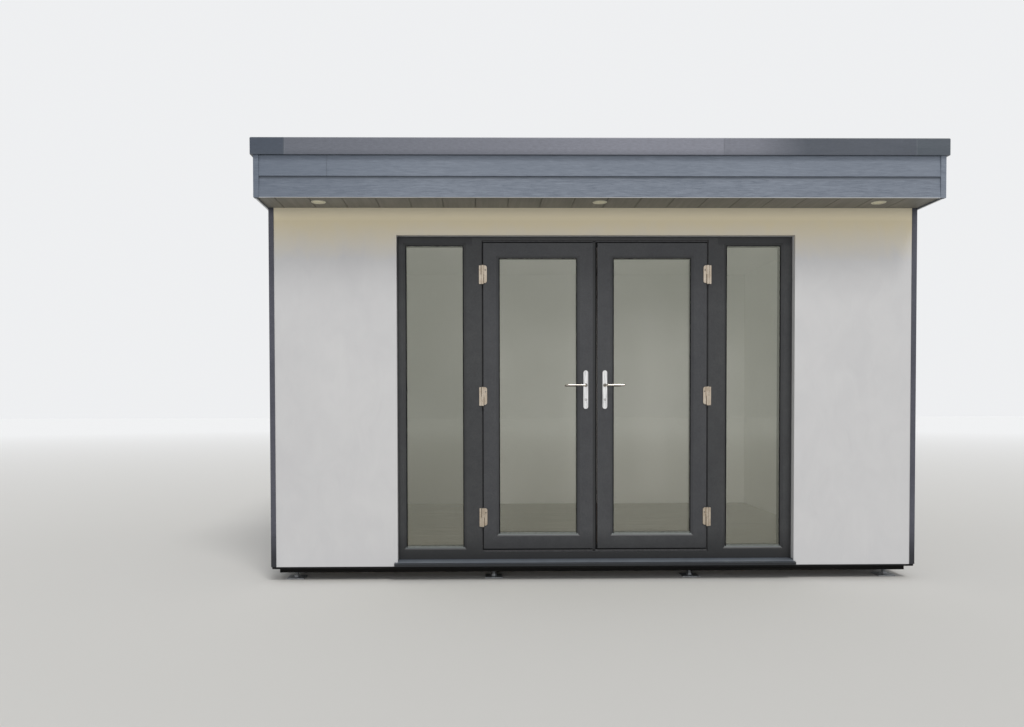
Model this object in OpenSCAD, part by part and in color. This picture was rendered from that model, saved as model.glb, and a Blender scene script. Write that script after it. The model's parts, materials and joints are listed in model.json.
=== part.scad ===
// Garden office pod: a flat-roofed, rendered timber-panel room on adjustable feet,
// with a pair of outward-opening glazed doors between two sidelights.
// X runs along the front from left to right, Y runs from front to back, Z is up.
// The origin is on the ground under the middle of the roof. All sizes are in mm.

/* [Body] */
// Width over the corner trims
body_w = 4100; // [3600:10:4600]
// Depth over the corner trims
body_d = 3000; // [2400:10:3600]
// Height of the walls' lower edge above the ground
wall_lift = 100; // [85:1:160]
// Height of the wall over the door opening, up to the underside of the soffit
over_door_h = 145; // [110:1:400]
// Thickness of a timber wall panel
wall_t = 192; // [100:1:220]
// Thickness of the render coat on its board
render_t = 12; // [8:1:20]
// How far the render hangs below the wall panels
render_drop = 7; // [0:1:8]
// Thickness of the inner wall and ceiling boards
lining_t = 12; // [9:1:18]

/* [Corner trims] */
// Face width of a corner trim
corner_w = 32; // [24:1:60]
// How far a corner trim stands proud of the render
corner_proud = 3; // [1:0.5:6]

/* [Base] */
// Height of an adjustable foot
foot_h = 50; // [40:1:80]
// Side of a foot's square ground plate
foot_plate = 110; // [80:1:140]
// Thickness of a foot's plates
foot_plate_t = 6; // [4:1:10]
// Side of a foot's head plate under the base
foot_head = 80; // [60:1:100]
// Diameter of a foot's threaded stem
foot_stem_d = 20; // [16:1:30]
// Width of a foot's nut across its corners
foot_nut_d = 36; // [30:1:50]
// Height of a foot's nut
foot_nut_h = 14; // [8:1:20]
// Width of the base rails and of the outer bearers
rail_w = 180; // [80:1:200]
// Width of an inner bearer
bearer_w = 60; // [45:1:90]
// Distance from the wall panels' outer face in to the base rails
base_inset = 30; // [10:1:60]
// Number of bearers from side to side
bearer_count = 7; // [5:2:9]

/* [Floor] */
// Thickness of the insulated floor panel
floor_t = 48; // [40:1:56]
// Thickness of the floor boards
floor_board_t = 12; // [8:1:14]

/* [Roof] */
// Reach of the roof beyond the front wall, to the fascia's face
front_over = 310; // [200:5:500]
// Reach of the roof beyond the side and back walls, which is also the fascia's thickness
side_over = 12; // [12:1:20]
// Height of the fascia from its lower edge to the top of the roof's kerb
fascia_h = 342; // [320:1:380]
// How far the fascia hangs below the soffit
fascia_drop = 8; // [4:1:16]
// Visible height of the lower fascia board
lower_board_h = 125; // [100:1:140]
// Step where the upper board laps the lower one
board_lap = 6; // [3:0.5:6]
// How far the boards lie behind the face of the fascia's corner trims
board_setback = 2; // [1:0.5:3]
// Thickness of the closure strip along the fascia's lower edge
closure_t = 2; // [1:0.5:3]
// Thickness of the soffit boards
soffit_t = 12; // [9:1:18]
// Cover width of a soffit board
soffit_board = 200; // [100:1:300]
// Shift of the soffit's grooves to the right of the roof's middle
groove_shift = 50; // [-100:1:100]
// Width of the groove between two soffit boards
groove_w = 6; // [3:0.5:8]
// Depth of the groove between two soffit boards
groove_d = 4; // [2:0.5:5]
// Width of the roof's kerb
kerb_w = 60; // [45:1:90]
// Depth of the roof's tray below its kerb at the front
tray_depth = 60; // [40:1:100]
// Fall of the roof from front to back
roof_fall = 35; // [20:1:60]
// Thickness of the rubber membrane
membrane_t = 3; // [2:0.5:4]

/* [Roof edge trim] */
// Height of the roof edge trim's face
trim_h = 101; // [80:1:120]
// How far the trim's face stands proud of the fascia
trim_proud = 15; // [8:1:25]
// Radius of the trim's rounded top edge
trim_round = 8; // [3:0.5:12]
// Thickness of the trim's cap over the kerb
trim_cap_t = 6; // [3:0.5:10]
// Depth of the lip at the cap's inner edge
trim_lip = 14; // [6:1:30]
// Thickness of that lip
trim_lip_t = 3; // [2:0.5:5]
// Length of a corner piece along each side
trim_corner_leg = 200; // [150:5:300]
// Length of the first straight piece on the front and back
trim_first_length = 2600; // [1500:10:3000]
// Gap between two lengths of trim
trim_joint = 1; // [0.5:0.5:3]

/* [Downlights] */
// Diameter of a downlight's bezel
downlight_d = 88; // [60:1:110]
// Width of the bezel's flat ring
bezel_w = 11; // [6:1:15]
// Thickness of the bezel below the soffit
bezel_t = 3; // [2:0.5:5]
// Rounding of the bezel's two edges
bezel_edge = 2; // [0.5:0.5:3]
// Wall of the bezel's sleeve in the soffit
sleeve_t = 4; // [2:0.5:5]
// Distance from one downlight to the next
downlight_pitch = 1720; // [900:10:1800]
// Shift of the downlights to the right of the building's centre line
downlight_shift = 12; // [-60:1:60]

/* [Door set] */
// Shift of the door set to the right of the building's centre line
door_shift = 12; // [-100:1:100]
// Width of one sidelight
sidelight_w = 480; // [350:5:600]
// Width of the door frame
door_frame_w = 1570; // [1400:5:1800]
// Height of the door frame and the sidelights
door_frame_h = 2080; // [2030:1:2110]
// Depth of the frames from front to back
frame_d = 70; // [60:1:90]
// Depth of the reveal from the render's face to the frames
frame_setback = 51; // [35:1:60]
// Fitting gap between the frames and the wall panels
fitting_gap = 5; // [2:1:10]
// How far the render laps over the frames at each side
render_lap = 3; // [3:1:12]
// How far the render laps over the frames at the head
render_head_lap = 21; // [5:1:30]
// Face width of a door frame's jamb
jamb_face = 60; // [50:1:75]
// Face height of the door frame's head
head_face = 42; // [30:1:60]
// Face height of the door frame's threshold
threshold_face = 44; // [35:1:60]
// Width of a sidelight's stile, to the glass
sidelight_stile = 56; // [50:1:80]
// Extra width of the right sidelight's outer stile
right_stile_extra = 16; // [0:1:40]
// Height of a sidelight's rails, to the glass
sidelight_rail = 79; // [60:1:100]

/* [Sill] */
// Thickness of the sill under the frames
sill_t = 28; // [25:1:40]
// Reach of the sill beyond the render's face
sill_nose = 30; // [15:1:60]
// Fall of the sill's top from the frames to its nose
sill_fall = 14; // [6:0.5:16]
// Depth of the drip lip under the nose
sill_lip = 4; // [1:0.5:5]
// Width of the drip lip
sill_lip_w = 11; // [6:1:16]
// Bevel along the nose's top edge
sill_edge = 2; // [0.5:0.5:4]
// Reach of the sill's left horn beyond the opening
horn_left = 20; // [0:1:40]
// Reach of the sill's right horn beyond the opening
horn_right = 6; // [0:1:40]

/* [Door leaves] */
// Gap between a leaf and its jamb
leaf_gap_side = 10; // [7:1:14]
// Gap between a leaf and the frame's head
leaf_gap_top = 19; // [8:1:25]
// Gap between a leaf and the threshold
leaf_gap_bottom = 23; // [8:1:30]
// Gap between the two leaves
leaf_gap_meeting = 30; // [26:1:40]
// Thickness of a leaf
leaf_t = 56; // [50:1:60]
// Thickness of a leaf's front flange
flange_t = 20; // [12:1:24]
// Step in from the flange's edge to the leaf's body
flange_step = 8; // [5:1:12]
// Width of a leaf's stile, to the glass
leaf_stile = 100; // [90:1:130]
// Height of a leaf's rails, to the glass
leaf_rail = 97; // [90:1:150]
// Overlap of the frame's stop behind a leaf
stop_overlap = 8; // [6:1:14]
// Gap between a closed leaf and the stop
stop_gap = 5; // [5:0.5:8]
// Width of the strip that covers the meeting gap
strip_w = 16; // [14:1:26]
// Setback of the meeting strip from the leaf's face
strip_setback = 8; // [4:1:14]
// Thickness of the meeting strip
strip_t = 38; // [20:1:44]
// Gap between the meeting strip and the frame at its ends
strip_end_gap = 6; // [5:1:10]

/* [Glazing] */
// Width of a sloped glazing bead
bead_w = 17; // [14:1:28]
// Depth of a glazing bead
bead_d = 11; // [8:1:14]
// Thickness of a sealed glass unit
glass_t = 24; // [20:1:28]
// How far the glass is held in the frame
glass_seat = 12; // [8:1:14]
// Edge gap around the glass
glass_gap = 2; // [1:0.5:4]

/* [Hinges] */
// Height of a flag hinge
hinge_h = 118; // [90:1:140]
// Distance from a leaf's end to the middle of its end hinge
hinge_end = 202; // [150:1:300]
// Radius of a hinge's knuckle
knuckle_r = 9; // [7:0.5:10]
// Distance of the hinge axis in front of the leaf's face
hinge_stand = 10; // [10:0.5:14]
// Reach of a hinge's frame plate from its axis
frame_plate_reach = 22; // [18:1:30]
// Reach of a hinge's leaf plate from its axis
leaf_plate_reach = 28; // [26:1:34]
// Thickness of a hinge's plates
hinge_plate_t = 7; // [4:0.5:8]
// Radius of a frame plate's rounded corners
frame_plate_round = 4; // [1:0.5:6]
// Radius of a leaf plate's rounded corners
leaf_plate_round = 14; // [4:0.5:15]
// How much shorter the leaf plate is at its lower end
flag_short = 6; // [3:1:12]
// Gap between a knuckle and the plate beside it
knuckle_gap = 1.5; // [1:0.5:3]
// Length of a pin that stays short of the knuckle's end
pin_short = 10; // [6:1:20]
// Radius of a hinge pin
pin_r = 4; // [3:0.5:5]
// Running clearance of a hinge pin in its knuckle
pin_play = 0.08; // [0.03:0.01:0.1]

/* [Handles] */
// Height of a lever's spindle above the leaf's lower edge
spindle_z = 1046; // [900:1:1150]
// Distance from a leaf's meeting edge to its spindle
backset = 46; // [40:1:55]
// Height of a handle plate
plate_h = 246; // [200:1:260]
// Width of a handle plate
plate_w = 30; // [26:1:36]
// Thickness of a handle plate
plate_t = 9; // [7:0.5:12]
// Rise of a plate's raised middle over its edge
plate_rise = 3; // [1:0.5:4]
// Width of the step round the raised middle
plate_step = 2; // [1:0.5:4]
// Distance from a plate's top to the spindle
plate_top = 95; // [70:1:110]
// Distance from the spindle down to the lock cylinder
cylinder_drop = 92; // [72:1:100]
// Diameter of the lock cylinder's barrel
barrel_d = 17; // [16:0.5:18]
// Width of the lock cylinder's tail
tail_w = 10; // [8:0.5:12]
// Reach of the tail below the barrel's axis
tail_reach = 24; // [20:1:26]
// How far the lock cylinder stands proud of its plate
cylinder_proud = 3; // [1:0.5:5]
// Width of the key slot
slot_w = 3; // [2:0.5:4]
// Height of the key slot
slot_h = 9; // [7:0.5:11]
// Depth of the key slot
slot_d = 5; // [2:0.5:8]
// Diameter of a lever's bar
lever_d = 14; // [10:0.5:18]
// Length of a lever from its spindle
lever_len = 124; // [100:1:140]
// Distance from the plate to the middle of the lever's bar
lever_stand = 42; // [34:1:60]
// Side of the square spindle
spindle_w = 8; // [7:1:10]
// Diameter of the lever's neck in the plate
neck_d = 18; // [16:0.5:22]
// Reach of the neck's collar beyond the plate
neck_out = 4; // [0:0.5:10]
// Running clearance round the neck
neck_play = 0.1; // [0.05:0.01:0.3]

/* [Hidden] */

$fn = 48;

// Seating clearance between pieces that lie close without bearing on each other
seat = 0.3;
// Overlap that makes two shapes of one solid a single solid
bite = 1;

// Plan of the roof, which the origin lies in the middle of
roof_w = body_w + 2 * (side_over + trim_proud);
roof_d = front_over + body_d + side_over + 2 * trim_proud;
fascia_w = roof_w - 2 * trim_proud;
fascia_d = roof_d - 2 * trim_proud;
deck_w = fascia_w - 2 * side_over;
deck_d = fascia_d - 2 * side_over;

// Plan of the walls, plane by plane from the outside in
front_y = -fascia_d / 2 + front_over;
back_y = front_y + body_d;
mid_y = (front_y + back_y) / 2;
half_w = body_w / 2;
render_in = corner_proud;
panel_in = render_in + render_t;
room_in = panel_in + wall_t;
lining_in = room_in + lining_t;
panel_x = half_w - panel_in;
room_x = half_w - room_in;
render_y = front_y + render_in;
panel_y = front_y + panel_in;
room_y = front_y + room_in;

// Levels
base_z = wall_lift;
frame_z = base_z + sill_t;
hole_top = frame_z + door_frame_h + fitting_gap;
soffit_z = hole_top + over_door_h;
deck_z = soffit_z + soffit_t;
fascia_z = soffit_z - fascia_drop;
kerb_z = fascia_z + fascia_h;
trim_z = kerb_z + trim_cap_t - trim_h;
render_z = wall_lift - render_drop;
rail_h = base_z - foot_h;

// Door set
frame_w = door_frame_w + 2 * sidelight_w;
frame_y = render_y + frame_setback;
hole_w = frame_w + 2 * fitting_gap;
reveal_w = frame_w - 2 * render_lap;
reveal_top = frame_z + door_frame_h - render_head_lap;
rebate_w = door_frame_w - 2 * jamb_face;
rebate_h = door_frame_h - head_face - threshold_face;
stop_y = leaf_t + stop_gap;
leaf_w = (rebate_w - leaf_gap_meeting) / 2 - leaf_gap_side;
leaf_h = rebate_h - leaf_gap_top - leaf_gap_bottom;
leaf_z = threshold_face + leaf_gap_bottom;
leaf_out = rebate_w / 2 - leaf_gap_side;
leaf_in = leaf_gap_meeting / 2;
hinge_x = rebate_w / 2 - leaf_gap_side / 2;
hinge_zs = [leaf_z + hinge_end, leaf_z + leaf_h / 2, leaf_z + leaf_h - hinge_end];
plate_x = leaf_in + backset;
plate_z = leaf_z + spindle_z;

// A box given by its lowest and highest corners
module block(low, high) {
    translate(low)
        cube(high - low);
}

// A copy on each side of the plane x = 0
module both_sides() {
    children();
    mirror([1, 0, 0])
        children();
}

// A copy at each of the four corners of a plan
module four_corners() {
    both_sides() {
        children();
        mirror([0, 1, 0])
            children();
    }
}

// A profile drawn in inward distance and height, run along X with its face to the front
module run_x(length) {
    translate([-length / 2, 0, 0])
        rotate([90, 0, 90])
            linear_extrude(length)
                children();
}

// Moves what is drawn about the middle of the door set, from its frames' front lower edge
module at_door_set() {
    translate([door_shift, frame_y, frame_z])
        children();
}

// A plate with round ends, standing in the XZ plane and growing towards -Y
module round_ended_plate(width, height, thickness) {
    rotate([90, 0, 0])
        linear_extrude(thickness)
            union() {
                square([width, height - width], center = true);
                for (s = [-1, 1])
                    translate([0, s * (height - width) / 2])
                        circle(d = width);
            }
}

// Base

module foot() {
    low = foot_plate / 2;
    high = foot_head / 2;
    block([-low, -low, 0], [low, low, foot_plate_t]);
    translate([0, 0, foot_plate_t - bite])
        cylinder(d = foot_nut_d, h = foot_nut_h + bite, $fn = 6);
    cylinder(d = foot_stem_d, h = foot_h - bite);
    block([-high, -high, foot_h - foot_plate_t], [high, high, foot_h]);
}

base_half_w = panel_x - base_inset;
base_front_y = panel_y + base_inset;
base_back_y = back_y - panel_in - base_inset;
bearer_pitch = (2 * base_half_w - rail_w) / (bearer_count - 1);

module feet() {
    color("silver")
        for (i = [0 : 2 : bearer_count - 1])
            for (y = [base_front_y + rail_w / 2, mid_y, base_back_y - rail_w / 2])
                translate([-base_half_w + rail_w / 2 + i * bearer_pitch, y, 0])
                    foot();
}

module base_rails() {
    color([0.16, 0.16, 0.17])
        for (y = [base_front_y, base_back_y - rail_w])
            block([-base_half_w, y, foot_h], [base_half_w, y + rail_w, base_z]);
}

module base_bearers() {
    color([0.16, 0.16, 0.17])
        for (i = [0 : bearer_count - 1]) {
            x = -base_half_w + rail_w / 2 + i * bearer_pitch;
            w = (i == 0 || i == bearer_count - 1) ? rail_w : bearer_w;
            block([x - w / 2, base_front_y + rail_w + seat, foot_h],
                [x + w / 2, base_back_y - rail_w - seat, base_z]);
        }
}

// Floor, which runs out under the doors to the back of the frames

module floor_plan(inset) {
    back = back_y - room_in - inset;
    translate([-room_x + inset, room_y + inset])
        square([2 * (room_x - inset), back - room_y - inset]);
    translate([door_shift - frame_w / 2, frame_y + frame_d + seat])
        square([frame_w, room_y + inset - frame_y - frame_d]);
}

module floor_panel() {
    color([0.72, 0.6, 0.42])
        translate([0, 0, base_z])
            linear_extrude(floor_t)
                floor_plan(seat);
}

module floor_boards() {
    color([0.36, 0.29, 0.22])
        translate([0, 0, base_z + floor_t])
            linear_extrude(floor_board_t)
                floor_plan(lining_t + seat);
}

// Walls: the side walls run from front to back, the front and back walls fit between them

module front_wall_left() {
    color([0.8, 0.7, 0.5])
        block([-room_x, panel_y, base_z], [door_shift - hole_w / 2, room_y, deck_z]);
}

module front_wall_right() {
    color([0.8, 0.7, 0.5])
        block([door_shift + hole_w / 2, panel_y, base_z], [room_x, room_y, deck_z]);
}

module front_wall_over_door() {
    color([0.8, 0.7, 0.5])
        block([door_shift - hole_w / 2, panel_y, hole_top], [door_shift + hole_w / 2, room_y, deck_z]);
}

module right_wall() {
    color([0.8, 0.7, 0.5])
        block([room_x, panel_y, base_z], [panel_x, back_y - panel_in, deck_z]);
}

module left_wall() {
    mirror([1, 0, 0])
        right_wall();
}

module back_wall() {
    color([0.8, 0.7, 0.5])
        block([-room_x, back_y - room_in, base_z], [room_x, back_y - panel_in, deck_z]);
}

// Render, which stops against the corner trims and returns into the door opening

render_half_w = half_w - corner_w - seat;

module front_render() {
    color([0.8, 0.8, 0.8])
        union() {
            difference() {
                block([-render_half_w, render_y, render_z], [render_half_w, panel_y, soffit_z - seat]);
                block([door_shift - reveal_w / 2, render_y - bite, render_z - bite],
                    [door_shift + reveal_w / 2, panel_y + bite, reveal_top]);
            }
            difference() {
                block([door_shift - hole_w / 2 + seat, panel_y - bite, frame_z + seat],
                    [door_shift + hole_w / 2 - seat, frame_y, hole_top - seat]);
                block([door_shift - reveal_w / 2, panel_y - 2 * bite, frame_z - bite],
                    [door_shift + reveal_w / 2, frame_y + bite, reveal_top]);
            }
        }
}

module right_render() {
    color([0.8, 0.8, 0.8])
        block([panel_x, front_y + corner_w + seat, render_z],
            [half_w - render_in, back_y - corner_w - seat, deck_z]);
}

module left_render() {
    mirror([1, 0, 0])
        right_render();
}

module back_render() {
    color([0.8, 0.8, 0.8])
        block([-render_half_w, back_y - panel_in, render_z], [render_half_w, back_y - render_in, deck_z]);
}

module corner_trims() {
    color([0.27, 0.28, 0.31])
        translate([0, mid_y, 0])
            four_corners()
                difference() {
                    block([half_w - corner_w, body_d / 2 - corner_w, render_z],
                        [half_w, body_d / 2, soffit_z - seat]);
                    block([half_w - corner_w - bite, body_d / 2 - corner_w - bite, render_z - bite],
                        [panel_x, body_d / 2 - panel_in, soffit_z + bite]);
                }
}

// Inner boards, with a lining round the door opening

module wall_lining() {
    low = base_z + floor_t;
    color([0.9, 0.9, 0.88]) {
        difference() {
            union() {
                block([-room_x + lining_t + seat, room_y, low], [room_x - lining_t - seat, room_y + lining_t, soffit_z]);
                block([door_shift - hole_w / 2, frame_y + frame_d + seat, low],
                    [door_shift + hole_w / 2, room_y + bite, hole_top]);
            }
            block([door_shift - frame_w / 2 - seat, frame_y + frame_d, low - bite],
                [door_shift + frame_w / 2 + seat, room_y + lining_t + bite, hole_top - 2 * fitting_gap]);
        }
        both_sides()
            block([room_x - lining_t, room_y, low], [room_x, back_y - room_in, soffit_z]);
        block([-room_x + lining_t + seat, back_y - lining_in, low],
            [room_x - lining_t - seat, back_y - room_in, soffit_z]);
    }
}

module ceiling_board() {
    color([0.92, 0.92, 0.9])
        block([-room_x, room_y, soffit_z], [room_x, back_y - room_in, deck_z]);
}

// Roof: a deep panel with a shallow tray that falls to the back inside its kerb

// The tray's space, drawn as its side profile and run across the roof
module tray(inset) {
    half = deck_d / 2 - kerb_w - inset;
    run_x(deck_w - 2 * kerb_w - 2 * inset)
        polygon([[-half, kerb_z - tray_depth + inset], [half, kerb_z - tray_depth - roof_fall + inset],
            [half, kerb_z + bite], [-half, kerb_z + bite]]);
}

module roof_panel() {
    color([0.75, 0.65, 0.45])
        difference() {
            block([-deck_w / 2, -deck_d / 2, deck_z], [deck_w / 2, deck_d / 2, kerb_z]);
            tray(0);
        }
}

module roof_membrane() {
    color([0.2, 0.2, 0.21])
        difference() {
            intersection() {
                tray(0);
                block([-deck_w / 2, -deck_d / 2, deck_z], [deck_w / 2, deck_d / 2, kerb_z]);
            }
            tray(membrane_t);
        }
}

// Soffit of grooved boards that run from front to back, bored for the downlights

downlight_y = (-deck_d / 2 + front_y) / 2;
lens_r = downlight_d / 2 - bezel_w;
sleeve_r = lens_r + sleeve_t;

module soffit_boards() {
    first = ceil((4 * groove_w - deck_w / 2 - groove_shift) / soffit_board);
    last = floor((deck_w / 2 - 4 * groove_w - groove_shift) / soffit_board);
    grooves = [for (i = [first : last]) for (p = [[-1, 0], [0, 1], [1, 0]])
        [groove_shift + i * soffit_board + p[0] * groove_w / 2, p[1] * groove_d]];
    color([0.4, 0.39, 0.36])
        difference() {
            translate([0, panel_y, soffit_z])
                rotate([90, 0, 0])
                    linear_extrude(panel_y + deck_d / 2)
                        polygon(concat([[-deck_w / 2, soffit_t], [-deck_w / 2, 0]], grooves,
                            [[deck_w / 2, 0], [deck_w / 2, soffit_t]]));
            at_downlights()
                translate([0, 0, -bite])
                    cylinder(r = sleeve_r + seat, h = soffit_t + 2 * bite);
        }
}

// A copy at each downlight, with its origin in the soffit's face
module at_downlights() {
    for (i = [-1 : 1])
        translate([downlight_shift + i * downlight_pitch, downlight_y, soffit_z])
            children();
}

module downlight_bezels() {
    outer = downlight_d / 2;
    color([0.85, 0.83, 0.75])
        at_downlights()
            rotate_extrude()
                polygon([[lens_r, soffit_t], [lens_r, -bezel_t + bezel_edge / 2], [lens_r + bezel_edge, -bezel_t],
                    [outer - bezel_edge, -bezel_t], [outer, 0], [sleeve_r, 0], [sleeve_r, soffit_t]]);
}

module downlight_lenses() {
    color([0.95, 0.93, 0.82])
        at_downlights()
            cylinder(r = lens_r - seat, h = soffit_t / 2);
}

// Fascia of two lapped boards between corner trims, over a closure strip

module board_profile() {
    step = board_setback + board_lap;
    translate([0, fascia_z])
        polygon([[board_setback, 0], [step, lower_board_h], [board_setback, lower_board_h],
            [step, 2 * lower_board_h], [step, fascia_h], [side_over, fascia_h], [side_over, 0]]);
}

module closure_profile() {
    translate([board_setback, fascia_z - closure_t])
        square([side_over - board_setback, closure_t]);
}

// A profile run along all four sides of the fascia, between the corner trims
module round_fascia() {
    clear = 2 * (corner_w + seat);
    for (s = [0, 180])
        rotate([0, 0, s]) {
            translate([0, -fascia_d / 2, 0])
                run_x(fascia_w - clear)
                    children();
            translate([-fascia_w / 2, 0, 0])
                rotate([0, 0, -90])
                    run_x(fascia_d - clear)
                        children();
        }
}

module fascia_boards() {
    color([0.46, 0.49, 0.54])
        round_fascia()
            board_profile();
}

module fascia_closure_strip() {
    color([0.75, 0.76, 0.76])
        round_fascia()
            closure_profile();
}

module fascia_corner_trims() {
    color([0.42, 0.45, 0.5])
        four_corners()
            difference() {
                block([fascia_w / 2 - corner_w, fascia_d / 2 - corner_w, fascia_z - closure_t],
                    [fascia_w / 2, fascia_d / 2, kerb_z]);
                block([fascia_w / 2 - corner_w - bite, fascia_d / 2 - corner_w - bite, fascia_z - closure_t - bite],
                    [deck_w / 2, deck_d / 2, kerb_z + bite]);
            }
}

// Roof edge trim: a face that hangs over the fascia and a kerb cap that laps the membrane

trim_w = trim_proud + side_over + kerb_w + membrane_t + seat + trim_lip_t;

module trim_profile() {
    leg = trim_proud - seat;
    union() {
        square([leg, trim_h - trim_round]);
        translate([trim_round, 0])
            square([leg - trim_round, trim_h]);
        intersection() {
            translate([trim_round, trim_h - trim_round])
                circle(r = trim_round);
            square([leg, trim_h]);
        }
        translate([leg - bite, trim_h - trim_cap_t])
            square([trim_w - leg + bite, trim_cap_t]);
        translate([trim_w - trim_lip_t, trim_h - trim_cap_t - trim_lip])
            square([trim_lip_t, trim_cap_t + trim_lip]);
    }
}

module trim_length(length) {
    translate([0, 0, trim_z])
        run_x(length)
            trim_profile();
}

// A mitred corner piece with its outer corner at the origin and its legs along +X and +Y
module trim_leg() {
    intersection() {
        translate([trim_corner_leg / 2, 0, 0])
            trim_length(trim_corner_leg);
        translate([0, 0, trim_z - bite])
            linear_extrude(trim_h + 2 * bite)
                polygon([[0, 0], [trim_corner_leg, 0], [trim_corner_leg, trim_w], [trim_w, trim_w]]);
    }
}

module roof_edge_corners() {
    color([0.34, 0.36, 0.4])
        four_corners()
            translate([-roof_w / 2, -roof_d / 2, 0])
                union() {
                    trim_leg();
                    mirror([1, -1, 0])
                        trim_leg();
                }
}

module roof_edge_lengths() {
    run_w = roof_w - 2 * trim_corner_leg - 2 * trim_joint;
    run_d = roof_d - 2 * trim_corner_leg - 2 * trim_joint;
    second = run_w - trim_first_length - trim_joint;
    color([0.36, 0.38, 0.42])
        for (s = [0, 180])
            rotate([0, 0, s]) {
                translate([(trim_first_length - run_w) / 2, -roof_d / 2, 0])
                    trim_length(trim_first_length);
                translate([(run_w - second) / 2, -roof_d / 2, 0])
                    trim_length(second);
                translate([-roof_w / 2, 0, 0])
                    rotate([0, 0, -90])
                        trim_length(run_d);
            }
}

// Sill with a sloped top, a drip lip and a horn at each end in front of the render

module sill_profile() {
    back = frame_setback + frame_d;
    polygon([[-sill_nose, -sill_lip], [-sill_nose, sill_t - sill_fall - sill_edge],
        [-sill_nose + sill_edge, sill_t - sill_fall], [frame_setback, sill_t], [back, sill_t],
        [back, 0], [-sill_nose + sill_lip_w, 0], [-sill_nose + sill_lip_w - sill_lip, -sill_lip]]);
}

module door_sill() {
    low = -sill_lip - bite;
    high = sill_t + bite;
    color([0.3, 0.32, 0.36])
        translate([door_shift, render_y, base_z])
            intersection() {
                run_x(hole_w + 2 * (horn_left + horn_right))
                    sill_profile();
                union() {
                    block([-reveal_w / 2 - horn_left, -sill_nose - bite, low],
                        [reveal_w / 2 + horn_right, -seat, high]);
                    block([-reveal_w / 2 + seat, -seat - bite, low], [reveal_w / 2 - seat, render_t + bite, high]);
                    block([-hole_w / 2 + seat, render_t + seat, low],
                        [hole_w / 2 - seat, frame_setback + frame_d + bite, high]);
                }
            }
}

// A glazed frame: sloped beads in front of the glass and a groove that holds its edges
module glazing_opening(low, high, depth) {
    bead = [bead_w, 0, bead_w];
    in = [0, bead_d, 0];
    hull() {
        block(low - bead - [0, bite, 0], [high[0], 0, high[2]] + bead);
        block(low + in / 2, [high[0], bead_d, high[2]]);
    }
    block(low, [high[0], depth + bite, high[2]]);
    block(low + in - [glass_seat, 0, glass_seat],
        [high[0] + glass_seat, bead_d + glass_t, high[2] + glass_seat]);
}

module glass_unit(low, high) {
    edge = glass_seat - glass_gap;
    block(low + [-edge, bead_d, -glass_seat], [high[0] + edge, bead_d + glass_t, high[2] + edge]);
}

// Sidelights

sidelight_low = [-frame_w / 2 + sidelight_stile, 0, sidelight_rail];
sidelight_high = [-door_frame_w / 2 - sidelight_stile, 0, door_frame_h - sidelight_rail];

module sidelight_frame(stile_extra) {
    color([0.27, 0.27, 0.29])
        difference() {
            block([-frame_w / 2, 0, 0], [-door_frame_w / 2, frame_d, door_frame_h]);
            glazing_opening(sidelight_low + [stile_extra, 0, 0], sidelight_high, frame_d);
        }
}

module sidelight_glass() {
    color([0.6, 0.68, 0.66, 0.4])
        at_door_set() {
            glass_unit(sidelight_low, sidelight_high);
            mirror([1, 0, 0])
                glass_unit(sidelight_low + [right_stile_extra, 0, 0], sidelight_high);
        }
}

module left_sidelight_frame() {
    at_door_set()
        sidelight_frame(0);
}

module right_sidelight_frame() {
    at_door_set()
        mirror([1, 0, 0])
            sidelight_frame(right_stile_extra);
}

// Door frame with a rebate for the leaves and a stop behind them

module door_frame() {
    stop_in = flange_step + stop_overlap;
    color([0.27, 0.27, 0.29])
        at_door_set()
            difference() {
                block([-door_frame_w / 2, 0, 0], [door_frame_w / 2, frame_d, door_frame_h]);
                block([-rebate_w / 2, -bite, threshold_face],
                    [rebate_w / 2, stop_y, threshold_face + rebate_h]);
                block([-leaf_out + stop_in, 0, leaf_z + stop_in],
                    [leaf_out - stop_in, frame_d + bite, leaf_z + leaf_h - stop_in]);
            }
}

// Door leaves, drawn for the left leaf

leaf_low = [-leaf_out + leaf_stile, 0, leaf_z + leaf_rail];
leaf_high = [-leaf_in - leaf_stile, 0, leaf_z + leaf_h - leaf_rail];

module leaf() {
    step = [flange_step, 0, flange_step];
    color([0.28, 0.28, 0.3])
        difference() {
            union() {
                block([-leaf_out, 0, leaf_z], [-leaf_in, flange_t, leaf_z + leaf_h]);
                block([-leaf_out, flange_t - bite, leaf_z] + step,
                    [-leaf_in, leaf_t, leaf_z + leaf_h] - step);
            }
            glazing_opening(leaf_low, leaf_high, leaf_t);
            translate([-plate_x, leaf_t + bite, plate_z])
                rotate([90, 0, 0])
                    cylinder(d = neck_d, h = leaf_t + 2 * bite);
        }
}

module leaf_glass() {
    color([0.6, 0.68, 0.66, 0.4])
        glass_unit(leaf_low, leaf_high);
}

// The strip is fixed to the left leaf's edge and fills most of the meeting gap
module meeting_strip() {
    color([0.26, 0.26, 0.28])
        at_door_set()
            translate([-leaf_in, 0, threshold_face + strip_end_gap])
                linear_extrude(rebate_h - 2 * strip_end_gap)
                    polygon([[0, strip_setback], [strip_w, strip_setback],
                        [strip_w, strip_setback + strip_t], [-flange_step, strip_setback + strip_t],
                        [-flange_step, flange_t], [0, flange_t]]);
}

// Flag hinges, drawn about the hinge axis with the leaf on the +X side

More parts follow.
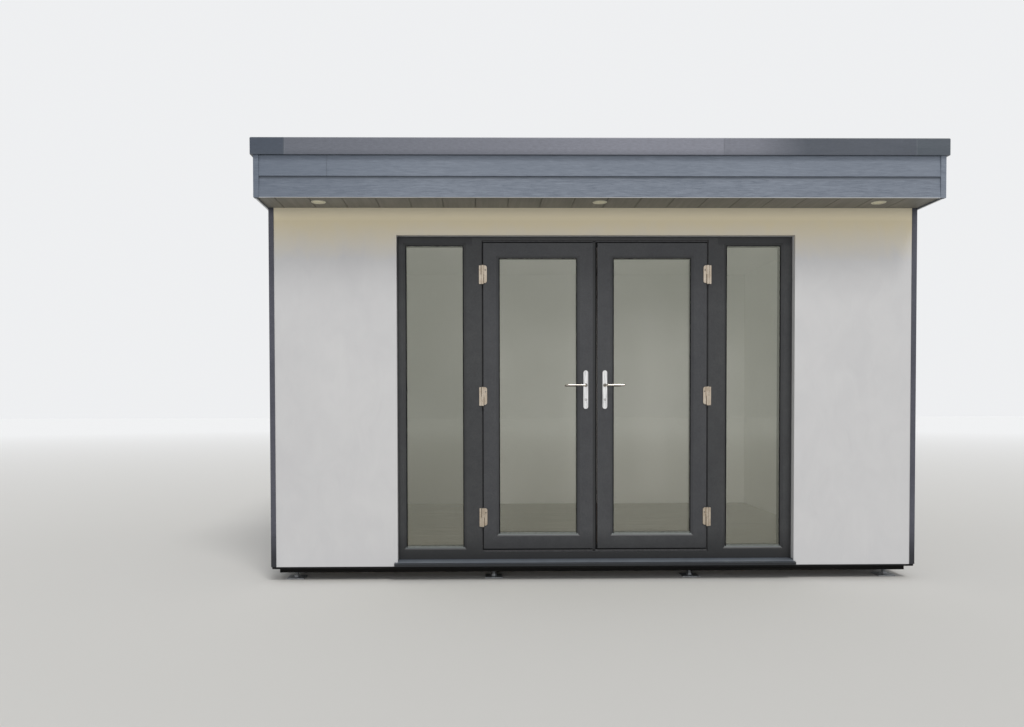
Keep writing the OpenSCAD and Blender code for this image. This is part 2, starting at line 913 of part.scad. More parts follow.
// A plate whose two outer corners are rounded
module hinge_plate(reach, corner, low, high) {
    front = hinge_stand - hinge_plate_t;
    intersection() {
        block([knuckle_r + knuckle_gap, front, low], [reach, hinge_stand, high]);
        union() {
            block([0, front - bite, low - bite], [reach - corner, hinge_stand + bite, high + bite]);
            block([0, front - bite, low + corner], [reach + bite, hinge_stand + bite, high - corner]);
            for (z = [low + corner, high - corner])
                translate([reach - corner, hinge_stand + bite, z])
                    rotate([90, 0, 0])
                        cylinder(r = corner, h = hinge_plate_t + 2 * bite);
        }
    }
}

module hinge_knuckle(low, high) {
    block([0, -knuckle_r / 2, low], [knuckle_r + knuckle_gap + bite, hinge_stand - knuckle_gap, high]);
    translate([0, 0, low])
        cylinder(r = knuckle_r, h = high - low);
}

module hinge_frame_half() {
    half = hinge_h / 2;
    mirror([1, 0, 0]) {
        hinge_plate(frame_plate_reach, frame_plate_round, -half, half);
        hinge_knuckle(-half, -seat / 2);
    }
    translate([0, 0, -half])
        cylinder(r = pin_r, h = hinge_h - pin_short);
}

module hinge_leaf_half() {
    half = hinge_h / 2;
    difference() {
        union() {
            hinge_plate(leaf_plate_reach, leaf_plate_round, -half + flag_short, half);
            hinge_knuckle(seat / 2, half);
        }
        translate([0, 0, -bite])
            cylinder(r = pin_r + pin_play, h = half - pin_short + 3 * bite);
    }
}

module at_left_hinges() {
    at_door_set()
        for (z = hinge_zs)
            translate([-hinge_x, -hinge_stand, z])
                children();
}

module at_right_hinges() {
    at_door_set()
        for (z = hinge_zs)
            translate([hinge_x, -hinge_stand, z])
                mirror([1, 0, 0])
                    children();
}

module frame_hinges() {
    color([0.85, 0.84, 0.82]) {
        at_left_hinges()
            hinge_frame_half();
        at_right_hinges()
            hinge_frame_half();
    }
}

module left_leaf_hinges() {
    color([0.88, 0.87, 0.85])
        at_left_hinges()
            hinge_leaf_half();
}

module right_leaf_hinges() {
    color([0.88, 0.87, 0.85])
        at_right_hinges()
            hinge_leaf_half();
}

// Handle plates, one on each face of a leaf, drawn for the left leaf about the spindle

// The lock cylinder's end: a round barrel over a narrow tail, with a key slot
module lock_cylinder() {
    face = -plate_t - cylinder_proud;
    difference() {
        union() {
            rotate([90, 0, 0])
                cylinder(d = barrel_d, h = -face);
            block([-tail_w / 2, face, -tail_reach], [tail_w / 2, 0, 0]);
        }
        block([-slot_w / 2, face - bite, -slot_h / 2], [slot_w / 2, face + slot_d, slot_h / 2]);
    }
}

module handle_plate() {
    middle = plate_top - plate_h / 2;
    edge_t = plate_t - plate_rise;
    difference() {
        union() {
            translate([0, 0, middle])
                round_ended_plate(plate_w, plate_h, edge_t);
            translate([0, bite - edge_t, middle])
                round_ended_plate(plate_w - 2 * plate_step, plate_h - 2 * plate_step, plate_rise + bite);
            translate([0, 0, -cylinder_drop])
                lock_cylinder();
        }
        translate([0, bite, 0])
            rotate([90, 0, 0])
                cylinder(r = neck_d / 2 + neck_play, h = plate_t + 2 * bite);
    }
}

module at_left_spindle() {
    at_door_set()
        translate([-plate_x, 0, plate_z])
            children();
}

module at_right_spindle() {
    at_door_set()
        translate([plate_x, 0, plate_z])
            mirror([1, 0, 0])
                children();
}

module handle_plates() {
    color([0.9, 0.89, 0.87]) {
        handle_plate();
        translate([0, leaf_t, 0])
            mirror([0, 1, 0])
                handle_plate();
    }
}

// A lever: a neck out of the plate, a rounded elbow and a bar with a round end
module lever() {
    bend = lever_d;
    bar = lever_len - bend - lever_d / 2;
    rotate([90, 0, 0])
        rotate_extrude()
            union() {
                square([neck_d / 2, plate_t + neck_out]);
                square([lever_d / 2, plate_t + lever_stand - bend]);
            }
    translate([-bend, -plate_t - lever_stand + bend, 0])
        rotate([0, 0, -90])
            rotate_extrude(angle = 90)
                translate([bend, 0])
                    circle(d = lever_d);
    translate([-bend, -plate_t - lever_stand, 0])
        rotate([0, -90, 0])
            rotate_extrude()
                union() {
                    square([lever_d / 2, bar]);
                    translate([0, bar])
                        intersection() {
                            circle(d = lever_d);
                            square(lever_d);
                        }
                }
}

module levers() {
    color([0.9, 0.89, 0.87])
        union() {
            lever();
            block([-spindle_w / 2, -plate_t, -spindle_w / 2], [spindle_w / 2, leaf_t + plate_t, spindle_w / 2]);
            translate([0, leaf_t, 0])
                mirror([0, 1, 0])
                    lever();
        }
}

feet();
base_rails();
base_bearers();
floor_panel();
floor_boards();
front_wall_left();
front_wall_right();
front_wall_over_door();
left_wall();
right_wall();
back_wall();
front_render();
left_render();
right_render();
back_render();
corner_trims();
wall_lining();
ceiling_board();
roof_panel();
roof_membrane();
soffit_boards();
downlight_bezels();
downlight_lenses();
fascia_boards();
fascia_corner_trims();
fascia_closure_strip();
roof_edge_lengths();
roof_edge_corners();
door_sill();
door_frame();
left_sidelight_frame();
right_sidelight_frame();
sidelight_glass();
at_door_set() leaf();  // left_leaf
at_door_set() mirror([1, 0, 0]) leaf();  // right_leaf
at_door_set() leaf_glass();  // left_leaf_glass
at_door_set() mirror([1, 0, 0]) leaf_glass();  // right_leaf_glass
meeting_strip();
frame_hinges();
left_leaf_hinges();
right_leaf_hinges();
at_left_spindle() handle_plates();  // left_handle_plates
at_right_spindle() handle_plates();  // right_handle_plates
at_left_spindle() levers();  // left_levers
at_right_spindle() levers();  // right_levers
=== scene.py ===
"""Looks of the garden office pod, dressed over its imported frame."""

import json
import math
import random

import bmesh
import bpy
from mathutils import Matrix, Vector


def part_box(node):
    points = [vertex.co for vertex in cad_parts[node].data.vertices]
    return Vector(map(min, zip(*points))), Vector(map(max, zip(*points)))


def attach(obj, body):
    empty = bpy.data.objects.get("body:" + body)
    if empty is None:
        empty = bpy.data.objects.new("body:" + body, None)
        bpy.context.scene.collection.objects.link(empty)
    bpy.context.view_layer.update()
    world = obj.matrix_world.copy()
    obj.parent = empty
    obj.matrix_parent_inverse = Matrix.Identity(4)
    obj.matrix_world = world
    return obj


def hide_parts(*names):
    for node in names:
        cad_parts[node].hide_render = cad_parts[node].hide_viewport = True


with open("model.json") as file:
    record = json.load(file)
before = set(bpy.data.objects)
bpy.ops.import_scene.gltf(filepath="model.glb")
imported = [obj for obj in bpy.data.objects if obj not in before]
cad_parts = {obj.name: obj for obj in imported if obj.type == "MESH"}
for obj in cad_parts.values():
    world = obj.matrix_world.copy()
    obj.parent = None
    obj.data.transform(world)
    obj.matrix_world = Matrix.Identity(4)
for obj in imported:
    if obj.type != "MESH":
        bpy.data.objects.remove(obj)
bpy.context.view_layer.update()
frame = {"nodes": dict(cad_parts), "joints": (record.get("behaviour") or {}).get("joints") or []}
nodes = frame["nodes"]

MM = 0.001

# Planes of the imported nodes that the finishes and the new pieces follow, in metres
SOFFIT_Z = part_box("soffit_boards")[0].z
FASCIA_LEFT_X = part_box("fascia_boards")[0].x
EDGE_FOOT_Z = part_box("roof_edge_lengths")[0].z
COAT_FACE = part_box("front_render")[0].y
FRAME_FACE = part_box("door_frame")[0].y
SILL_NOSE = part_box("door_sill")[0].y
GLASS_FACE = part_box("sidelight_glass")[0].y
GLASS_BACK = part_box("sidelight_glass")[1].y

# Where the upper fascia board laps over the lower one
LAP_Z = 2.475

# The grooves between the soffit boards: the place of one, and the pitch
GROOVE_X = 0.050
GROOVE_PITCH = 0.200

# Where the roof edge's straight lengths meet each other and the corner pieces
SECOND_LENGTH_X = 0.7245
JOINT_X = 1.8765

# What the frames hide of each glass unit, and the inner stiles of the side frames
HIDDEN_EDGE = 10 * MM
HIDDEN_FOOT = 12 * MM
SIDE_STILE = 56 * MM


def showing(glass):
    """Left, right, lower and upper edge of what shows of a glass node."""
    low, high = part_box(glass)
    return low.x + HIDDEN_EDGE, high.x - HIDDEN_EDGE, low.z + HIDDEN_FOOT, high.z - HIDDEN_EDGE


LEFT_LEAF_PANE = showing("left_leaf_glass")
RIGHT_LEAF_PANE = showing("right_leaf_glass")
outer_left, outer_right, PANE_FOOT, PANE_HEAD = showing("sidelight_glass")
LEFT_SIDE_PANE = (outer_left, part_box("left_sidelight_frame")[1].x - SIDE_STILE, PANE_FOOT, PANE_HEAD)
RIGHT_SIDE_PANE = (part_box("right_sidelight_frame")[0].x + SIDE_STILE, outer_right, PANE_FOOT, PANE_HEAD)

# The coat of render: the heights over which it is splashed, tinted by painted warm light and lit by painted
# light from below, and a plane just behind the front wall's face, which parts that face from the other walls
SPLASH_Z = (0.42, 0.12)
WARM_LIGHT_Z = (SOFFIT_Z - 0.27, SOFFIT_Z - 0.03)
BOUNCE_Z = (SOFFIT_Z - 0.085, SOFFIT_Z - 0.004)
FRONT_COAT_Y = COAT_FACE + 18 * MM

# The fascia: how far from the left corner its paint darkens, and its soft and deep shade under the lap
CORNER_SHADE_X = (-1.0, FASCIA_LEFT_X)
SOFT_SHADE_Z = (LAP_Z - 48 * MM, LAP_Z - 12 * MM)
DEEP_SHADE_Z = (LAP_Z - 18 * MM, LAP_Z - 10 * MM)

# The roof edge: where its two front lengths grow paler, partly faded and partly a painted sheen, and its
# painted shade at the foot
FIRST_FADE_AND_SHEEN_X = (-JOINT_X, 0.2)
SECOND_FADE_AND_SHEEN_X = (1.22, 0.9)
EDGE_SHADE_Z = (EDGE_FOOT_Z + 33 * MM, EDGE_FOOT_Z + 2 * MM)

# The frames' foil: painted shade at the foot and on the rail over the side panes; dust and painted top light
# on the sloped beads
FOOT_SHADE_Z = (0.33, 0.16)
FOOT_SHADE_SHARE = 0.8
HEAD_RAIL_Z = (PANE_HEAD - 4 * MM, PANE_HEAD + 16 * MM)
BEAD_DUST_AND_LIGHT_Y = (FRAME_FACE + 2.5 * MM, FRAME_FACE + 8.5 * MM)

# The sill's top: a painted highlight, paler towards the front, and painted shade where its nose begins to
# round
SILL_NOSE_LIGHT_Y = (FRAME_FACE - 3 * MM, SILL_NOSE + 22 * MM)
SILL_ROUNDING_Y = (SILL_NOSE + 21 * MM, SILL_NOSE + 15 * MM)


# Shaders: numbers that vary over a surface, and the finishes built from them

class Amount:
    """A number that varies over a surface. Arithmetic on it adds Math nodes."""

    def __init__(self, finish, socket):
        self.finish = finish
        self.socket = socket

    def _math(self, operation, first, second):
        return self.finish.node("ShaderNodeMath", {"operation": operation}, {0: first, 1: second})

    def __add__(self, other):
        return self._math("ADD", self, other)

    __radd__ = __add__

    def __sub__(self, other):
        return self._math("SUBTRACT", self, other)

    def __rsub__(self, other):
        return self._math("SUBTRACT", other, self)

    def __mul__(self, other):
        return self._math("MULTIPLY", self, other)

    __rmul__ = __mul__

    def below(self, level):
        return self._math("LESS_THAN", self, level)


class Wiring:
    """A node tree that nodes are added to, with their sockets filled or linked."""

    def __init__(self, tree):
        self.tree = tree

    def fill(self, node, sockets):
        for key, value in sockets.items():
            if isinstance(value, Amount):
                self.tree.links.new(value.socket, node.inputs[key])
            else:
                node.inputs[key].default_value = value

    def node(self, kind, settings=None, sockets=None, output=0):
        made = self.tree.nodes.new(kind)
        for key, value in (settings or {}).items():
            setattr(made, key, value)
        self.fill(made, sockets or {})
        return Amount(self, made.outputs[output])


class Finish(Wiring):
    """A surface finish round one Principled shader. Its patterns lie in the part's own metres."""

    def __init__(self, name, colour, roughness, **sockets):
        self.material = bpy.data.materials.new(name)
        self.material.use_nodes = True
        super().__init__(self.material.node_tree)
        self.shader = self.tree.nodes["Principled BSDF"]
        self.place = self.node("ShaderNodeTexCoord", output="Object")
        self.fill(self.shader, {"Base Color": colour, "Roughness": roughness})
        self.fill(self.shader, {key.replace("_", " "): value for key, value in sockets.items()})

    def axes(self):
        made = self.tree.nodes.new("ShaderNodeSeparateXYZ")
        self.fill(made, {0: self.place})
        return [Amount(self, out) for out in made.outputs]

    def upward(self):
        """How far the surface faces up, from -1 to 1."""
        made = self.tree.nodes.new("ShaderNodeSeparateXYZ")
        self.fill(made, {0: self.node("ShaderNodeNewGeometry", output="Normal")})
        return Amount(self, made.outputs[2])

    def stretched(self, scale, turn=(0, 0, 0)):
        """The place on the surface, turned and scaled for a pattern."""
        return self.node("ShaderNodeMapping", None, {0: self.place, "Scale": scale, "Rotation": turn})

    def noise(self, scale, detail=3.0, rough=0.5, distortion=0.0):
        """Cloudy noise of 0 to 1, with that many clouds to the metre along X, Y and Z."""
        if not isinstance(scale, tuple):
            scale = (scale,) * 3
        return self.node("ShaderNodeTexNoise", None, {
            "Vector": self.stretched(scale), "Scale": 1.0, "Detail": detail,
            "Roughness": rough, "Distortion": distortion})

    def between(self, factor, first, second):
        """A colour that goes from first to second as factor goes from 0 to 1."""
        return self.node("ShaderNodeMix", {"data_type": "RGBA"}, {0: factor, 6: first, 7: second}, 2)

    def span(self, amount, low, high, to_low=0.0, to_high=1.0):
        """The amount, stretched from low..high to to_low..to_high and kept inside it."""
        return self.node("ShaderNodeMapRange", None, {
            0: amount, 1: low, 2: high, 3: to_low, 4: to_high})

    def mottled(self, colour, scale, strength):
        """The colour in lighter and darker specks, with that many specks to the metre."""
        share = (self.noise(scale, 5, 0.8) - 0.5) * strength + 1.0
        return self.node("ShaderNodeVectorMath", {"operation": "SCALE"}, {0: colour, "Scale": share})

    def colour(self, amount):
        self.fill(self.shader, {"Base Color": amount})

    def gloss(self, amount):
        self.fill(self.shader, {"Roughness": amount})

    def relief(self, height, depth):
        """Bumps of that depth in metres."""
        self.fill(self.shader, {"Normal": self.node("ShaderNodeBump", None, {
            "Height": height, "Distance": depth, "Strength": 1.0})})


def paint(red, green, blue):
    """A linear colour from its usual 0 to 255 levels."""
    def straight(level):
        share = level / 255
        return share / 12.92 if share <= 0.04045 else ((share + 0.055) / 1.055) ** 2.4
    return (straight(red), straight(green), straight(blue), 1.0)


def smooth_render():
    """Trowelled render: splashed at its foot, and in front creamier and brighter towards the soffit, as
    painted warm light and painted light from below.
    """
    f = Finish("smooth_render", paint(200, 200, 200), 0.85)
    clouds = f.noise(1.3, 4, 0.6, 0.4)
    trowel = f.noise((7, 7, 4), 3, 0.55, 1.2)
    sand = f.noise(700, 2, 0.6)
    depth, height = f.axes()[1:]
    in_front = depth.below(FRONT_COAT_Y)
    tone = f.span(clouds * 0.6 + trowel * 0.4, 0.3, 0.7)
    face = f.between(tone, paint(182, 182, 184), paint(191, 191, 192))
    # Painted light on the front only: a warm tint and a highlight under the soffit
    painted_warm_light = f.span(height + trowel * 0.12, *WARM_LIGHT_Z) * in_front
    face = f.between(painted_warm_light, face, paint(196, 186, 160))
    bounced = f.span(height, *BOUNCE_Z) * in_front
    face = f.between(bounced * 0.65, face, paint(240, 231, 207))
    splash = f.span(height + trowel * 0.25, *SPLASH_Z)
    f.colour(f.between(splash * 0.25, face, paint(180, 182, 187)))
    f.gloss(f.span(sand, 0.2, 0.8, 0.78, 0.92))
    f.relief(trowel + sand * 0.25, 1.6 * MM)
    return f.material


def fascia_board_paint(name, lapped=True):
    """Blue-grey paint over a moulded grain, darker towards the left corner.

    Where two boards are lapped, the upper one's grain is fainter and the lower one lies in its shade.
    """
    dark, light, shade = paint(85, 93, 106), paint(121, 129, 141), paint(44, 48, 56)
    f = Finish(name, light, 0.5)
    lines = f.noise((12, 12, 150), 5, 0.75, 0.8)
    bands = f.noise((5, 5, 34), 3, 0.5, 1.8)
    grain = f.span(lines * 0.7 + bands * 0.3, 0.36, 0.64)
    cloud = f.noise(1.1, 2)
    across, _, height = f.axes()
    if lapped:
        boldness = f.span(height, LAP_Z, LAP_Z + MM, 1.0, 0.65)
        grain = (grain - 0.5) * boldness + 0.5
    face = f.between(grain * 0.75 + cloud * 0.25, dark, light)
    face = f.between(f.span(across, *CORNER_SHADE_X) * 0.45, face, paint(74, 84, 99))
    if lapped:
        lower = height.below(LAP_Z)
        face = f.between(f.span(height, *SOFT_SHADE_Z) * lower * 0.16, face, shade)
        face = f.between(f.span(height, *DEEP_SHADE_Z) * lower * 0.6, face, shade)
    f.colour(face)
    f.gloss(f.span(grain, 0, 1, 0.58, 0.46))
    f.relief(grain, 0.8 * MM)
    return f.material


def soffit_board_paint():
    """Warm grey board paint, with painted shade and dirt along the grooves between the boards."""
    f = Finish("soffit_paint", paint(108, 106, 98), 0.6)
    cloud = f.noise((9, 2.5, 9), 3, 0.5, 0.4)
    grain = f.noise((60, 2.5, 60), 3, 0.6, 0.3)
    face = f.between(f.span(cloud * 0.6 + grain * 0.4, 0.3, 0.7), paint(106, 104, 98), paint(120, 118, 111))
    from_groove = f.node("ShaderNodeMath", {"operation": "PINGPONG"}, {
        0: f.axes()[0] - GROOVE_X, 1: GROOVE_PITCH / 2})
    # Painted shade and dirt along each groove between the boards
    dirt = f.span(from_groove + grain * (4 * MM), 11 * MM, 5 * MM)
    f.colour(f.between(dirt * 0.25, face, paint(66, 64, 58)))
    f.gloss(f.span(grain, 0.3, 0.7, 0.68, 0.56))
    f.relief(grain, 0.3 * MM)
    return f.material


def foil(name, colour, worn, roughness=0.42, dust_and_top_light=None, painted_nose_light=None, head_shade=0.0):
    """Anthracite foil on a plastic profile: fine specks, a dull sheen and painted shade at its foot.

    Dust and painted top light lie on its ledges; on a sill a painted highlight grows towards the nose, with
    painted shade where the nose rounds.
    """
    f = Finish(name, colour, roughness, Specular_IOR_Level=0.35)
    _, depth, height = f.axes()
    pores = f.noise((420, 420, 160), 3, 0.6)
    cloud = f.noise(2.2, 3, 0.5, 0.3)
    dust = f.noise(14, 4, 0.65)
    face = f.between(f.span(cloud * 0.5 + dust * 0.5, 0.35, 0.7), colour, worn)
    face = f.mottled(face, 110, 1.1)
    # Painted shade, darkening towards the foot
    painted_foot_shade = f.span(height + dust * 0.02, *FOOT_SHADE_Z) * FOOT_SHADE_SHARE
    face = f.between(painted_foot_shade, face, paint(26, 27, 29))
    if head_shade:
        face = f.between(f.span(height, *HEAD_RAIL_Z) * head_shade, face, paint(34, 35, 37))
    # Dust and painted top light on upward faces; on the beads only on their inner half
    if dust_and_top_light:
        settled_and_lit = f.span(f.upward(), 0.25, 0.6) * f.span(dust, 0.1, 0.6, 0.7, 1.0)
        if painted_nose_light:
            # On a sill: a painted highlight towards the nose, and painted shade where the nose rounds
            dust_and_top_light = f.between(f.span(depth, *SILL_NOSE_LIGHT_Y), dust_and_top_light, painted_nose_light)
            dust_and_top_light = f.between(f.span(depth, *SILL_ROUNDING_Y), dust_and_top_light, colour)
        else:
            settled_and_lit = settled_and_lit * f.span(depth, *BEAD_DUST_AND_LIGHT_Y)
        face = f.between(settled_and_lit, face, dust_and_top_light)
    f.colour(face)
    f.gloss(f.span(pores * 0.5 + dust * 0.5, 0.3, 0.7, roughness - 0.06, roughness + 0.1))
    f.relief(pores, 0.12 * MM)
    return f.material


def edge_plastic(name, colour, worn, faded_and_sheen=None):
    """The roof edge's plastic, scuffed at its joints, with painted shade at its foot.

    The two straight lengths in front grow paler towards where they meet, partly faded and partly a painted
    sheen, and the left corner piece is bluer and darker as painted shade.
    """
    f = Finish(name, colour, 0.42)
    across, _, height = f.axes()
    pores = f.noise((420, 420, 160), 3, 0.6)
    cloud = f.noise((1.4, 1.4, 9), 4, 0.6, 0.5)
    face = f.between(f.span(cloud, 0.35, 0.7), colour, worn)
    # Paler towards the joint of the two lengths: fading and a painted sheen
    if faded_and_sheen:
        first = f.between(f.span(across, *FIRST_FADE_AND_SHEEN_X, 0.35, 1.0), face, faded_and_sheen)
        second = f.between(f.span(across, *SECOND_FADE_AND_SHEEN_X) * 0.75, face, faded_and_sheen)
        face = f.between(across.below(SECOND_LENGTH_X), second, first)
    else:
        # Painted shade: corner pieces on the left side darker and bluer
        face = f.between(across.below(0) * 0.5, face, paint(44, 54, 72))
    face = f.mottled(face, (34, 34, 130), 0.9)
    face = f.between(f.span(height, *EDGE_SHADE_Z) * 0.35, face, colour)
    reach = f.node("ShaderNodeMath", {"operation": "ABSOLUTE"}, {0: across})
    scuff = (f.span(reach, JOINT_X - 6 * MM, JOINT_X - 2 * MM)
             * f.span(reach, JOINT_X + 6 * MM, JOINT_X + 2 * MM))
    f.colour(f.between(scuff * cloud * 0.5, face, paint(116, 122, 130)))
    f.gloss(f.span(pores * 0.5 + cloud * 0.5, 0.3, 0.7, 0.36, 0.52))
    f.relief(pores, 0.12 * MM)
    return f.material


def polished_metal(name, bright, painted_reflection, along):
    """Polished metal with faint streaks along one axis, darker in colour as a painted reflection of dark
    surroundings.
    """
    f = Finish(name, bright, 0.14, Metallic=1.0)
    streak = f.noise(tuple(9 if axis == along else 210 for axis in "XYZ"), 3, 0.55, 0.3)
    brush = f.noise(tuple(9 if axis == along else 700 for axis in "XYZ"), 2)
    # Painted reflection: darker streaks in the colour
    f.colour(f.between(f.span(streak, 0.45, 0.72) * 0.85, bright, painted_reflection))
    f.gloss(f.span(streak * 0.5 + brush * 0.5, 0.3, 0.7, 0.08, 0.2))
    f.relief(brush, 0.015 * MM)
    return f.material


def satin_nickel():
    """The hinges' brushed nickel, with a faint haze, and a warm tint that is a painted reflection of warm
    surroundings.
    """
    f = Finish("satin_nickel", paint(186, 172, 154), 0.3, Metallic=1.0)
    haze = f.noise(30, 3, 0.55)
    brush = f.noise((700, 700, 9), 2)
    # Warm tones: painted reflection of warm surroundings
    f.colour(f.between(f.span(haze, 0.3, 0.75), paint(208, 196, 180), paint(184, 168, 148)))
    f.gloss(f.span(haze * 0.5 + brush * 0.5, 0.3, 0.7, 0.2, 0.32))
    f.relief(brush, 0.02 * MM)
    return f.material


def galvanised():
    """Zinc with its crystal flakes, and dirt in places."""
    f = Finish("galvanised_steel", paint(160, 163, 166), 0.5, Metallic=0.85)
    spangle = f.node("ShaderNodeTexVoronoi", {"feature": "F1"}, {
        "Vector": f.place, "Scale": 90.0}, "Color")
    flake = f.node("ShaderNodeRGBToBW", None, {0: spangle})
    dirt = f.noise(26, 4, 0.6)
    zinc = f.between(flake, paint(138, 142, 146), paint(178, 181, 184))
    f.colour(f.between(f.span(dirt, 0.5, 0.75) * 0.7, zinc, paint(96, 88, 78)))
    f.gloss(f.span(flake + dirt * 0.5, 0.2, 1.2, 0.38, 0.62))
    f.relief(dirt, 0.2 * MM)
    return f.material


def black_timber():
    """Dark treated timber with its grain along X, darkened towards black as painted shade of the gap under
    the walls.
    """
    f = Finish("base_timber", paint(20, 19, 18), 0.75, Specular_IOR_Level=0.15)
    fibre = f.noise((4, 210, 210), 4, 0.65, 0.1)
    ring = f.noise((0.7, 22, 22), 3, 0.55, 1.4)
    grain = f.span(fibre * 0.45 + ring * 0.55, 0.32, 0.68)
    # Near black: dark timber and painted shade of the gap under the walls
    f.colour(f.between(grain, paint(8, 8, 8), paint(20, 19, 18)))
    f.gloss(f.span(grain, 0, 1, 0.85, 0.69))
    f.relief(grain, 0.6 * MM)
    return f.material


def oiled_oak():
    """Oiled planks whose tone and grain change from one to the next by their own attribute."""
    f = Finish("oiled_oak", paint(104, 86, 66), 0.45)
    plank = f.node("ShaderNodeAttribute", {"attribute_name": "plank"}, None, "Fac")
    shift = f.node("ShaderNodeCombineXYZ", None, {0: plank * 37, 1: plank * 11, 2: plank * 5})
    f.place = f.node("ShaderNodeVectorMath", {"operation": "ADD"}, {0: f.place, 1: shift})
    fibre = f.noise((5, 240, 60), 4, 0.65, 0.1)
    ring = f.noise((0.9, 26, 8), 3, 0.55, 1.6)
    grain = f.span(fibre * 0.4 + ring * 0.6, 0.32, 0.68)
    wood = f.between(grain, paint(78, 62, 46), paint(122, 102, 80))
    f.colour(f.between(plank * 0.45, wood, paint(86, 70, 54)))
    f.gloss(f.span(grain, 0, 1, 0.5, 0.36))
    f.relief(grain, 0.25 * MM)
    return f.material


def blackened_steel():
    """The dark steel of screws, caps and rings."""
    f = Finish("blackened_steel", paint(120, 116, 110), 0.35, Metallic=0.9)
    haze = f.noise(160, 3, 0.6)
    f.colour(f.between(f.span(haze, 0.3, 0.7), paint(96, 92, 88), paint(158, 152, 144)))
    f.gloss(f.span(haze, 0.3, 0.7, 0.28, 0.46))
    f.relief(haze, 0.05 * MM)
    return f.material


def flake_panel():
    """The bare strand board on the faces of the insulated panels."""
    f = Finish("strand_board", paint(188, 158, 112), 0.8)
    strands = f.node("ShaderNodeTexVoronoi", {"feature": "F1"}, {
        "Vector": f.stretched((34, 34, 80), (0.4, 0.3, 0.6)), "Scale": 1.0, "Randomness": 1.0}, "Color")
    flake = f.node("ShaderNodeRGBToBW", None, {0: strands})
    fibre = f.noise((60, 60, 260), 3)
    f.colour(f.between(flake * 0.7 + fibre * 0.3, paint(146, 112, 70), paint(214, 188, 142)))
    f.gloss(f.span(flake, 0.2, 0.8, 0.7, 0.88))
    f.relief(flake + fibre * 0.4, 0.5 * MM)
    return f.material


def painted_board():
    """White paint from a roller, on the room's lining."""
    f = Finish("painted_board", paint(232, 231, 226), 0.6)
    cloud = f.noise(1.6, 3)
    roller = f.noise(420, 2, 0.55)
    f.colour(f.between(f.span(cloud, 0.3, 0.7), paint(228, 227, 222), paint(236, 235, 231)))
    f.gloss(f.span(roller, 0.2, 0.8, 0.52, 0.68))
    f.relief(roller, 0.15 * MM)
    return f.material


def rubber_sheet():
    """The roof's rubber sheet, paler where puddles have dried."""
    f = Finish("rubber_sheet", paint(52, 54, 57), 0.7)
    ponding = f.noise(1.1, 4, 0.6, 0.6)
    dust = f.noise(38, 4, 0.7)
    f.colour(f.between(f.span(ponding * 0.6 + dust * 0.4, 0.4, 0.68), paint(46, 48, 51), paint(92, 92, 88)))
    f.gloss(f.span(ponding, 0.3, 0.7, 0.62, 0.84))
    f.relief(f.noise(9, 3, 0.5, 0.4) + dust * 0.15, 1.2 * MM)
    return f.material


def window_glass():
    """Coated double glazing, which mirrors about a fifth of the sky and lets the rest through."""
    f = Finish("window_glass", paint(222, 228, 220), 0.02, Metallic=1.0)
    film = f.noise(0.9, 3, 0.6, 0.5)
    smear = f.noise((5, 5, 2), 4, 0.6, 0.8)
    slant = f.node("ShaderNodeLayerWeight", None, {"Blend": 0.25}, "Facing")
    f.colour(f.between(f.span(film, 0.3, 0.7), paint(204, 206, 190), paint(218, 219, 205)))
    f.gloss(f.span(smear, 0.35, 0.75, 0.01, 0.05))
    f.fill(f.shader, {"Alpha": f.span(slant, 0, 1, 0.2, 0.9) + smear * 0.03})
    f.relief(film, 1.5 * MM)
    f.material.surface_render_method = "BLENDED"
    return f.material


def gasket_rubber(name, colour, bloomed):
    """Rubber or sealant with a pale bloom in places."""
    f = Finish(name, colour, 0.6, Specular_IOR_Level=0.15)
    bloom = f.noise(55, 3, 0.6)
    f.colour(f.between(f.span(bloom, 0.4, 0.8), colour, bloomed))
    f.gloss(f.span(bloom, 0.2, 0.8, 0.5, 0.75))
    f.relief(bloom, 0.1 * MM)
    return f.material


def lamp_metal():
    """Off-white paint on the downlights' bezels."""
    f = Finish("lamp_bezel_paint", paint(190, 184, 158), 0.35)
    cloud = f.noise(30, 3)
    f.colour(f.between(f.span(cloud, 0.3, 0.7), paint(190, 186, 166), paint(210, 207, 189)))
    f.gloss(f.span(cloud, 0.3, 0.7, 0.3, 0.42))
    f.relief(cloud, 0.05 * MM)
    return f.material


def lamp_lens():
    """The downlights' frosted lenses."""
    f = Finish("lamp_lens", paint(214, 208, 184), 0.3)
    frost = f.noise(260, 3, 0.6)
    f.colour(f.between(f.span(frost, 0.3, 0.7), paint(206, 200, 172), paint(224, 220, 200)))
    f.gloss(f.span(frost, 0.2, 0.8, 0.24, 0.4))
    f.relief(frost, 0.1 * MM)
    return f.material


def mill_aluminium():
    """Unpainted aluminium with fine streaks from its rolling."""
    f = Finish("mill_aluminium", paint(196, 198, 200), 0.4, Metallic=0.9)
    streak = f.noise((3, 3, 500), 3)
    f.colour(f.between(f.span(streak, 0.3, 0.7), paint(182, 184, 187), paint(206, 208, 210)))
    f.gloss(f.span(streak, 0.3, 0.7, 0.32, 0.48))
    f.relief(streak, 0.05 * MM)
    return f.material


render_coat = smooth_render()
fascia_paint = fascia_board_paint("fascia_paint")
fascia_trim_paint = fascia_board_paint("fascia_trim_paint", lapped=False)
soffit_paint = soffit_board_paint()
# The last colour is the front lengths' tone where fading and a painted sheen make them paler
edge_length = edge_plastic("edge_length_plastic", paint(66, 71, 80), paint(74, 79, 88), paint(117, 119, 129))
edge_corner = edge_plastic("edge_corner_plastic", paint(64, 71, 79), paint(76, 82, 90))
wall_trim = foil("wall_trim_paint", paint(66, 67, 76), paint(78, 79, 88), 0.5)
